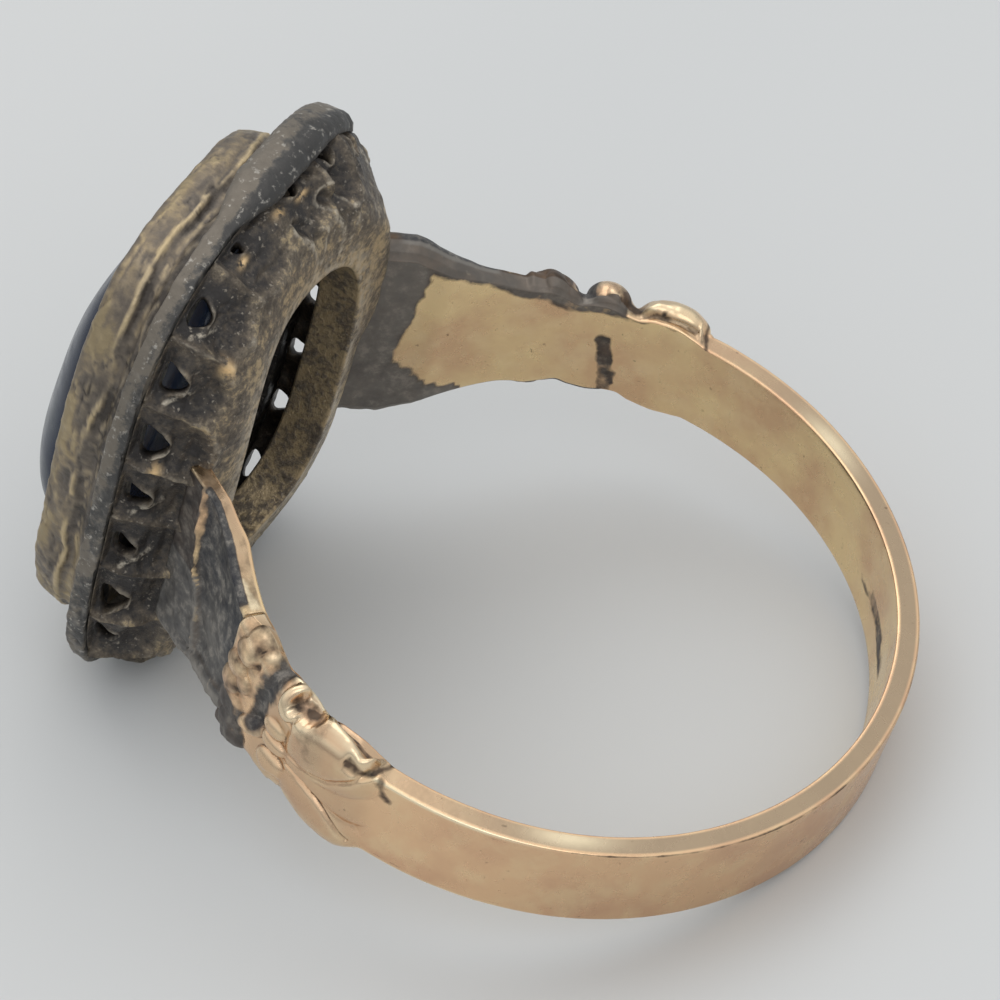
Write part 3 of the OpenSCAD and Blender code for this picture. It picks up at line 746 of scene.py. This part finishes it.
flute_quads = flute_faces()
gallery_points, gallery_faces = [], []
gallery_marks = {"dirt": [], "wear": [], "glint": []}
for flute in range(flutes):
    us, vs, from_hole, shift = flute_grid(flute)
    # The flutes aren't evenly spaced
    share = (flute + us) / flutes
    share = share + (0.4 * np.cos(2 * math.pi * share) - 0.05 + 0.56 * seam(share - 0.265, 0.065)) / flutes
    base_points, normal = wall_base(share, vs), wall_normal(share, vs)
    round_mm, up_mm = share * wall_round, vs * wall_rise
    # The end wall is calmer than the sides, and the foot and the top are plain
    end_wall = step(share, 0.31, 0.33) * (1 - step(share, 0.42, 0.45))
    calm = 1 - 0.5 * seam(share - 0.25, 0.04) - 0.9 * end_wall
    lumps = rough(base_points, 0.8, 61, 4)
    height = (scallop(us, vs, shift) + 0.10 * lumps) * calm
    off_drop = np.minimum(*(off_line(round_mm, up_mm, line) for line in drop_lines))
    drop_lip = seam(off_drop - 0.34, 0.08)
    crescent = seam(off_line(us * flute_w, up_mm, crescent_line), 0.08)
    crescent = crescent * (0.35 + 0.65 * (flute in sharp_crescents))
    lip = bead(from_hole, 0.28) * step(-vs, -0.86, -0.7)
    height = height - 0.24 * seam(off_drop, 0.17) + 0.05 * drop_lip + 0.07 * crescent
    height = height + 0.09 * lip + 0.04 * rough(base_points, 0.35, 66, 3)
    foot = 1 - step(vs, 0.05, 0.16)
    height = height * (1 - foot) + foot * 0.02 * lumps * step(vs, 0, 0.03)
    height = height * (1 - step(vs, 0.97, 1.0))
    swollen = step(share, 0.28, 0.33) * (1 - step(share, 0.46, 0.5))
    outer_points = base_points + normal * (height + swollen * smooth_line(vs, end_swell))[:, None]
    # The inner skin leans over towards the head near the foot, and the collar stands there
    lie = np.sqrt(np.clip(1 - vs / split_v, 0, 1))[:, None]
    inner_way = -normal * np.sqrt(1 - lie ** 2) + np.array([1.0, 0, 0]) * lie
    inner_points = base_points + inner_way * wall_t + normal * np.minimum(height, 0)[:, None] * 0.7
    collar_y, collar_z = oval(open_a - foot_edge, open_b - foot_edge,
                              even_angles(flange_a, flange_b, share))
    collar_x = saddle_x(collar_y) + collar_up * np.clip(vs / collar_v, 0, 1)
    kept = 1 - step(vs, collar_v, split_v)[:, None]
    inner_points = inner_points * (1 - kept) + np.stack([collar_x, collar_y, collar_z], -1) * kept
    gallery_faces.extend((flute_quads + len(gallery_points)).tolist())
    gallery_points.extend(outer_points.tolist())
    gallery_points.extend(inner_points.tolist())
    # Dirt lies in the cups and on the end wall, with painted shade up under the flange. The ridges and
    # foot are rubbed, and the arches' lips, the crescents and a line down the end wall are painted
    # highlights
    crevice = np.clip(-(height + 0.02) / 0.2, 0, 1)
    dirt = np.clip(0.34 + 0.5 * crevice + 0.22 * step(vs, 0.35, 0.7) + 0.2 * end_wall - 0.35 * lip, 0, 1)
    dirt = dirt * step(vs, 0.02, 0.3) + 0.25 * (1 - step(vs, 0.1, 0.3))
    inner_dirt = 0.16 + 0.6 * step(vs, collar_v, collar_v + 0.1)
    near_foot = 1 - step(vs, 0.0, 0.035)
    end_highlight = seam(share - smooth_line(vs, end_line_at), 0.003)
    end_highlight = end_highlight * step(vs, 0.11, 0.15) * (1 - step(vs, 0.6, 0.75))
    wear = np.clip(lip * 0.5 + crescent + 0.5 * np.clip(height / 0.1, 0, 1) + 0.7 * drop_lip
                   + 0.8 * near_foot + end_highlight, 0, 1)
    glint = np.clip(sum(seam(np.hypot(round_mm - m, up_mm - n), 0.2) for m, n in glint_spots), 0, 1)
    for name, outer_values, inner_values in (("dirt", dirt, inner_dirt), ("wear", wear, 0 * wear),
                                             ("glint", glint, 0 * glint)):
        gallery_marks[name].extend(np.concatenate([outer_values, inner_values]).tolist())

gallery = solid("gallery", np.array(gallery_points), gallery_faces, gallery_marks)
weld = gallery.modifiers.new("weld", "WELD")
weld.merge_threshold = 0.000004

black_tarnish = (0.034, 0.030, 0.028)
umber_tarnish = (0.098, 0.080, 0.062)
mid_tarnish = (0.205, 0.170, 0.128)
dull_gold = (0.52, 0.41, 0.255)
glint_gold = (0.95, 0.66, 0.34)
crumb_grey = (0.42, 0.37, 0.30)
rubbed_and_highlight_grey = (0.62, 0.55, 0.44)

blackened, tree, shader = finish_of("blackened gold")
large = spots(tree, 1.1, 7, roughness=0.62)
small = spots(tree, 0.22, 8, roughness=0.7, offset=0.4)
amount = added(tree, mark(tree, "dirt"), swing(tree, large, 1.4), swing(tree, small, 2.0))
# Tarnish colours, darkened further by painted shade under the flange
tarnish_and_shade = ramp(tree, amount, (0.05, dull_gold), (0.32, mid_tarnish), (0.6, umber_tarnish),
               (0.98, black_tarnish))
crumbs = ramp(tree, spots(tree, 0.13, 3, offset=0.15), (0.62, 0.0), (0.7, 0.75))
crumbs = times(tree, crumbs, ramp(tree, large, (0.4, 0.2), (0.6, 1.0)))
tarnish_and_shade = mixed(tree, crumbs, tarnish_and_shade, crumb_grey)
speckle = spots(tree, 0.3, 6, roughness=0.65, offset=0.8)
# Pale grey where the wall is rubbed, and painted highlights on the lips, crescents and end-wall line
rubbed_and_lit = times(tree, ramp(tree, speckle, (0.44, 0.0), (0.56, 0.85)),
               ramp(tree, mark(tree, "wear"), (0.25, 0.0), (0.9, 1.0)))
tarnish_and_shade = mixed(tree, rubbed_and_lit, tarnish_and_shade, rubbed_and_highlight_grey)
glints = times(tree, ramp(tree, speckle, (0.42, 0.0), (0.52, 1.0)), mark(tree, "glint"))
join(tree, shader, Base_Color=mixed(tree, glints, tarnish_and_shade, glint_gold),
     Metallic=ramp(tree, amount, (0.1, 0.85), (0.8, 0.2)),
     Roughness=ramp(tree, small, (0.3, 0.30), (0.7, 0.58)))
fine_relief(tree, shader, 1.0, 0.06, added(tree, small, large))
gallery.data.materials.append(blackened)
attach(gallery, "root")
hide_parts("hoop_and_gallery")

# The flange is the flat oval plate that the gallery is soldered under and the bezel
# sits on. Its outer edge is thick, grey with tarnish, and pitted and worn bright in
# specks where it has been knocked.

flange_w = 1.3
flange_round = 0.09
ring_cols = 560
# Radius of the circle that an oval ring is unrolled from for its noise
noise_r = 7.4


def loft(name, size, profile, relief_of, marks_of):
    """A closed oval ring. Its profile is distance from the hoop and inset from the half sizes."""
    a, b = size
    shares = np.arange(ring_cols) / ring_cols
    t = even_angles(a, b, shares)
    profile = np.array(profile, float)
    points = np.array([np.stack([np.full(ring_cols, out), *oval(a - inset, b - inset, t)], -1)
                       for out, inset in profile])
    side_way = np.roll(points, -1, 1) - np.roll(points, 1, 1)
    up_way = np.roll(points, -1, 0) - np.roll(points, 1, 0)
    normal = np.cross(side_way, up_way)
    normal /= np.maximum(np.linalg.norm(normal, axis=-1, keepdims=True), 1e-9)
    middle = points.mean(axis=0, keepdims=True)
    flip = np.sign(np.sum(normal * (points - middle)))
    turn = shares * 2 * math.pi
    run = np.concatenate([[0], np.cumsum(np.hypot(*np.diff(profile, axis=0).T))])[:, None]
    place = np.stack([noise_r * np.cos(turn) + 0 * run, noise_r * np.sin(turn) + 0 * run,
                      run + 0 * turn], -1)
    height = relief_of(points, place)
    points = points + normal * flip * height[..., None]
    marks = marks_of(points, height - soften(height, 8))
    marks["streak"] = 0.5 + 0.5 * rough(place * [1, 1, 3.2], 1.3, 90, 4)
    return solid(name, points.reshape(-1, 3), grid_faces(len(profile), ring_cols, True), marks)


def rounded(profile, radius, steps=4, longest=0.12):
    """A closed profile with its corners rounded and its straight stretches divided."""
    out = []
    n = len(profile)
    for i in range(n):
        before, here, after = (np.array(profile[(i + k) % n], float) for k in (-1, 0, 1))
        back, on = before - here, after - here
        back_len, on_len = np.linalg.norm(back), np.linalg.norm(on)
        cut = min(radius, back_len * 0.45, on_len * 0.45)
        p, q = here + back / back_len * cut, here + on / on_len * cut
        for k in range(steps + 1):
            t = k / steps
            out.append((1 - t) ** 2 * p + 2 * t * (1 - t) * here + t * t * q)
        straight = on_len - 2 * cut
        extra = int(straight / longest)
        for k in range(1, extra + 1):
            out.append(q + on / on_len * straight * k / (extra + 1))
    return out


def flange_relief(points, place):
    """Pits and wear, and the far end of the rim swollen with old knocks."""
    pits = np.clip(rough(place * [1, 1, 1.4], 0.36, 71, 2) - 0.45, 0, None)
    _, y, z = np.moveaxis(points, -1, 0)
    far_end = step(z / flange_b - 0.25 * y / flange_a, 0.9, 1.0) * step(z, 6.2, 7.0)
    at_rim = step(np.abs(y / flange_a) ** oval_power + np.abs(z / flange_b) ** oval_power, 0.92, 0.97)
    return (0.035 * rough(place * [1, 1, 1.6], 1.6, 72, 4) + 0.025 * rough(place, 0.35, 73, 3)
            - 0.12 * pits - 0.02 + 0.44 * far_end * at_rim)


def flange_marks(points, hollow):
    """The edge is lighter towards the front, with most contrast at the far end."""
    forward = (points[..., 0] - flange_back) / (flange_front - flange_back)
    far_end = step(points[..., 2], 6.2, 7.0)
    contrast = 0.9 * far_end
    front = step(forward, 0.3, 0.7) * (1 + contrast) - contrast * (1 - step(forward, 0.1, 0.4))
    wear = np.clip(hollow / 0.04 - 0.2, 0, 1) * (1 - far_end)
    return {"front": front, "wear": wear}


flange_profile = [(flange_back, 0.02), (flange_front, 0.06), (flange_front, flange_w),
                  (flange_back, flange_w)]
flange = loft("flange", (flange_a, flange_b), rounded(flange_profile, flange_round),
              flange_relief, flange_marks)

dark_grey = (0.062, 0.060, 0.058)
mid_grey = (0.102, 0.095, 0.086)
brown_grey = (0.180, 0.157, 0.128)
pale_grey = (0.50, 0.47, 0.42)

dull_grey, tree, shader = finish_of("grey tarnished flange")
cloud = added(tree, times(tree, mark(tree, "front"), 0.16),
              swing(tree, spots(tree, 0.4, 9, roughness=0.72, offset=0.1), 1.5),
              0.2, times(tree, mark(tree, "streak"), 0.5))
colour = ramp(tree, cloud, (0.38, dark_grey), (0.52, mid_grey), (0.66, brown_grey))
crumbs = ramp(tree, spots(tree, 0.2, 6, roughness=0.65, offset=0.45), (0.58, 0.0), (0.68, 0.7))
colour = mixed(tree, times(tree, mark(tree, "wear"), 0.6), colour, pale_grey)
colour = mixed(tree, crumbs, colour, pale_grey)
join(tree, shader, Base_Color=colour,
     Roughness=ramp(tree, spots(tree, 0.3, 5, offset=0.6), (0.3, 0.42), (0.7, 0.62)))
shader.inputs["Metallic"].default_value = 0.45
fine_relief(tree, shader, 0.8, 0.05, spots(tree, 0.22, 7, offset=0.25))
flange.data.materials.append(dull_grey)
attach(flange, "root")
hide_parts("hoop_and_gallery")

# The bezel is a pressed frame of thin gilt sheet with a hollow moulding, rubbed over
# the enamel's edge. It is wrinkled and split, yellow where the gilding is left and
# grey-brown elsewhere.

rim_a, rim_b = 4.66, 7.02
seat_gap = 0.03
bezel_back = flange_front + seat_gap
bezel_h = 1.71
bezel_round = 0.14
# The long crease lies in the wall's outside, which ends this far along the section
crease_to = 2.4


def bezel_relief(points, place):
    """Folds, cracks, and one long broken crease half-way up the wall."""
    folds = 1 - np.abs(rough(place * [1, 1, 2.4], 1.5, 81, 4))
    cracks = 1 - np.abs(rough(place * [1, 1, 3.0], 1.9, 86, 4))
    off_crease = (points[..., 0] - bezel_back) / bezel_h - 0.5 - 0.16 * rough(place * [1, 1, 0], 2.6, 95, 3)
    off_crease = np.where(place[..., 2] < crease_to, off_crease, 9)
    broken = 0.15 + 0.85 * step(rough(place * [1, 1, 0], 1.1, 96, 2), -0.35, 0.25)
    crease = (seam(off_crease, 0.04) - 1.2 * seam(off_crease + 0.12, 0.06)) * broken
    return (0.025 * rough(place, 1.4, 82, 4) + 0.018 * (folds ** 5 - 0.3) + 0.012 * rough(place, 0.3, 88, 3)
            - 0.04 * np.clip(cracks ** 18, 0, 1) - 0.01 + 0.045 * crease)


def bezel_marks(points, hollow):
    """Dirt in hollows, painted shade by the flange and along the shaded lower wall, lighter at the top,
    darker at one end and lighter at the other; proud places rubbed bright and painted as highlights.
    """
    up = (points[..., 0] - bezel_back) / bezel_h
    _, y, z = np.moveaxis(points, -1, 0)
    # Painted shade by the flange and along the shaded lower wall
    low = 1 - step(up, 0, 0.3)
    shady = step(-z, -4.5, -2) * (1 - step(-z, 0.5, 2.0)) * (1 - step(up, 0.35, 0.62))
    by_end = 0.3 * seam(y - 2.3, 1.5) * step(z, 5.4, 6.2) - 0.1 * step(-z, 1, 3)
    dirt = 0.46 - hollow / 0.1 - 0.14 * step(up, 0.6, 0.9) + 0.25 * low + 0.34 * shady + by_end
    return {"dirt": np.clip(dirt, 0, 1), "wear": np.clip(hollow / 0.03, 0, 1)}


# The moulding's section: up from the flange, inset from the rim's oval
moulding = [(0, -0.34), (0.24, -0.3), (0.42, -0.08), (0.75, -0.14), (1.15, -0.12), (bezel_h - 0.22, -0.02),
            (bezel_h - 0.05, 0.08), (bezel_h, 0.25), (bezel_h - 0.08, 0.5), (bezel_h - 0.3, 0.5),
            (bezel_h - 0.3, 0.22), (0.4, 0.22), (0.4, 0.6), (0, 0.6)]
bezel_profile = rounded([(bezel_back + up, inset) for up, inset in moulding], bezel_round)
bezel = loft("bezel_frame", (rim_a, rim_b), bezel_profile, bezel_relief, bezel_marks)

gilt_yellow = (0.34, 0.27, 0.165)
gilt_tan = (0.235, 0.190, 0.135)
gilt_bright = (0.85, 0.68, 0.42)
grey_brown = (0.150, 0.125, 0.100)
crack_brown = (0.05, 0.04, 0.032)

gilt, tree, shader = finish_of("worn gilt")
amount = added(tree, mark(tree, "dirt"), swing(tree, spots(tree, 2.0, 3, offset=0.15), 1.3),
               swing(tree, mark(tree, "streak"), 0.8),
               swing(tree, spots(tree, 0.16, 6, roughness=0.6, offset=0.75), 0.6))
colour = ramp(tree, amount, (0.12, gilt_yellow), (0.36, gilt_tan), (0.62, grey_brown), (1.0, crack_brown))
colour = mixed(tree, times(tree, mark(tree, "wear"), 0.45), colour, gilt_bright)
join(tree, shader, Base_Color=colour, Metallic=ramp(tree, amount, (0.2, 0.8), (0.8, 0.25)),
     Roughness=ramp(tree, spots(tree, 0.4, 5, offset=0.35), (0.3, 0.36), (0.7, 0.58)))
fine_relief(tree, shader, 0.9, 0.05, spots(tree, 0.24, 7, offset=0.55))
bezel.data.materials.append(gilt)
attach(bezel, "root")
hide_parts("bezel")

# The enamel is a dark blue glass dome fired on a thin plate. The plate lies in the
# bezel's well and the rim is rubbed over its edge, so only the dome stands out in front.
# It leans: it is fullest at the end where the head rests on the floor.

dome_h, dome_share, dome_lean = 1.65, 0.8, 0.4
well_a, well_b = rim_a - 0.25, rim_b - 0.25
# How much narrower the plate is in the rim's mouth than in the well behind it
neck = 0.28
plate_back = bezel_back + 0.43
plate_front = bezel_back + bezel_h - 0.33
border_at = bezel_back + bezel_h - 0.1
dome_foot = border_at + 0.06
dome_top = bezel_back + bezel_h + dome_h
dome_cols, dome_rows = 200, 40

# Rows from the plate's back to the dome's top: towards the front, inset, share, height
enamel_rows = [(plate_back, 0, 1.0, 0.0), (plate_front - 0.03, 0, 1.0, 0.0), (plate_front, neck, 1.0, 0.0),
               (border_at, neck, 1.0, 0.0), (border_at + 0.03, neck, 0.9, 0.0)]
for turn in np.linspace(0, math.pi / 2, dome_rows, endpoint=False):
    high = (dome_top - dome_foot) * math.sin(turn)
    enamel_rows.append((dome_foot, neck, dome_share * math.cos(turn), high))
dome_angles = even_angles(well_a, well_b, np.arange(dome_cols) / dome_cols)
dome_points = []
for forward, inset, share, high in enamel_rows:
    y, z = oval(well_a - inset, well_b - inset, dome_angles)
    y, z = y * share, z * share
    dome_points += np.stack([forward + high * (1 - dome_lean * z / well_b), y, z], -1).tolist()
back_centre, top_centre = len(dome_points), len(dome_points) + 1
dome_points += [[plate_back, 0, 0], [dome_top, 0, 0]]
dome_faces = [quad[::-1] for quad in grid_faces(len(enamel_rows), dome_cols)]
last_row = (len(enamel_rows) - 1) * dome_cols
for i in range(dome_cols):
    i2 = (i + 1) % dome_cols
    dome_faces.append([back_centre, i, i2])
    dome_faces.append([top_centre, last_row + i2, last_row + i])
enamel = solid("enamel_dome", np.array(dome_points), dome_faces, {})

navy = (0.006, 0.011, 0.028)
deep_blue = (0.014, 0.022, 0.045)
greyed_blue = (0.04, 0.05, 0.065)

glass, tree, shader = finish_of("dark blue enamel")
colour = ramp(tree, spots(tree, 2.5, 5), (0.35, navy), (0.55, deep_blue), (0.7, greyed_blue))
join(tree, shader, Base_Color=colour,
     Roughness=ramp(tree, spots(tree, 0.7, 5, offset=0.5), (0.4, 0.16), (0.7, 0.3)))
shader.inputs["Specular IOR Level"].default_value = 0.09
enamel.data.materials.append(glass)
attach(enamel, "root")
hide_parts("enamel")

# The ring lies on plain pale paper in soft light from a window and a weaker one across
# from it. The camera stands at the photograph's angle. Lengths from here are in metres.

paper_reach = 0.6
floor_mesh = bpy.data.meshes.new("floor")
floor_mesh.from_pydata([(-paper_reach, -paper_reach, 0), (paper_reach, -paper_reach, 0),
                        (paper_reach, paper_reach, 0), (-paper_reach, paper_reach, 0)], [], [(0, 1, 2, 3)])
floor = bpy.data.objects.new("floor", floor_mesh)
bpy.context.scene.collection.objects.link(floor)

cool_paper = (0.60, 0.615, 0.62)
warm_paper = (0.64, 0.65, 0.65)
paper, tree, shader = finish_of("pale paper")
join(tree, shader, Base_Color=ramp(tree, spots(tree, 60, 2), (0.3, cool_paper), (0.7, warm_paper)))
shader.inputs["Roughness"].default_value = 0.7
floor.data.materials.append(paper)

low_sky = (0.40, 0.42, 0.44)
mid_sky = (0.66, 0.70, 0.73)
world = bpy.data.worlds.new("room")
bpy.context.scene.world = world
world.use_nodes = True
sky = world.node_tree
sky_height = put(sky, "SeparateXYZ", Vector=put(sky, "TexCoord").outputs["Generated"]).outputs["Z"]
glow = ramp(sky, sky_height, (0.0, low_sky), (0.3, mid_sky), (0.62, 1.0))
sky.links.new(glow, sky.nodes["Background"].inputs["Color"])
sky.nodes["Background"].inputs["Strength"].default_value = 0.9

ring_middle = (0, 0, 0.006)


def softbox(name, place, width, power, colour):
    """A soft square light that points at the ring."""
    lamp = bpy.data.lights.new(name, "AREA")
    lamp.shape, lamp.size, lamp.energy, lamp.color = "SQUARE", width, power, colour
    held = bpy.data.objects.new(name, lamp)
    bpy.context.scene.collection.objects.link(held)
    held.location = place
    held.rotation_mode = "QUATERNION"
    held.rotation_quaternion = (Vector(ring_middle) - Vector(place)).to_track_quat("-Z", "Y")


softbox("window", (-0.08, 0.12, 0.34), 0.30, 0.24, (1.0, 0.98, 0.95))
softbox("fill", (0.18, -0.16, 0.24), 0.2, 0.12, (0.97, 0.98, 1.0))

# The camera's place, and in degrees how far round, how high and how much turned it is
camera_place = (0.045301, -0.075048, 0.083522)
camera_round, camera_above, camera_roll = 30.573, 41.302, -5.793
lens = bpy.data.cameras.new("camera")
lens.lens, lens.sensor_width = 162, 36
lens.clip_start, lens.clip_end = 0.001, 10
camera = bpy.data.objects.new("camera", lens)
bpy.context.scene.collection.objects.link(camera)
camera.matrix_world = (Matrix.Translation(camera_place)
                       @ Matrix.Rotation(math.radians(camera_round), 4, "Z")
                       @ Matrix.Rotation(math.radians(90 - camera_above), 4, "X")
                       @ Matrix.Rotation(math.radians(camera_roll), 4, "Z"))
bpy.context.scene.camera = camera
bpy.context.scene.view_settings.view_transform = "Standard"

bpy.context.view_layer.update()
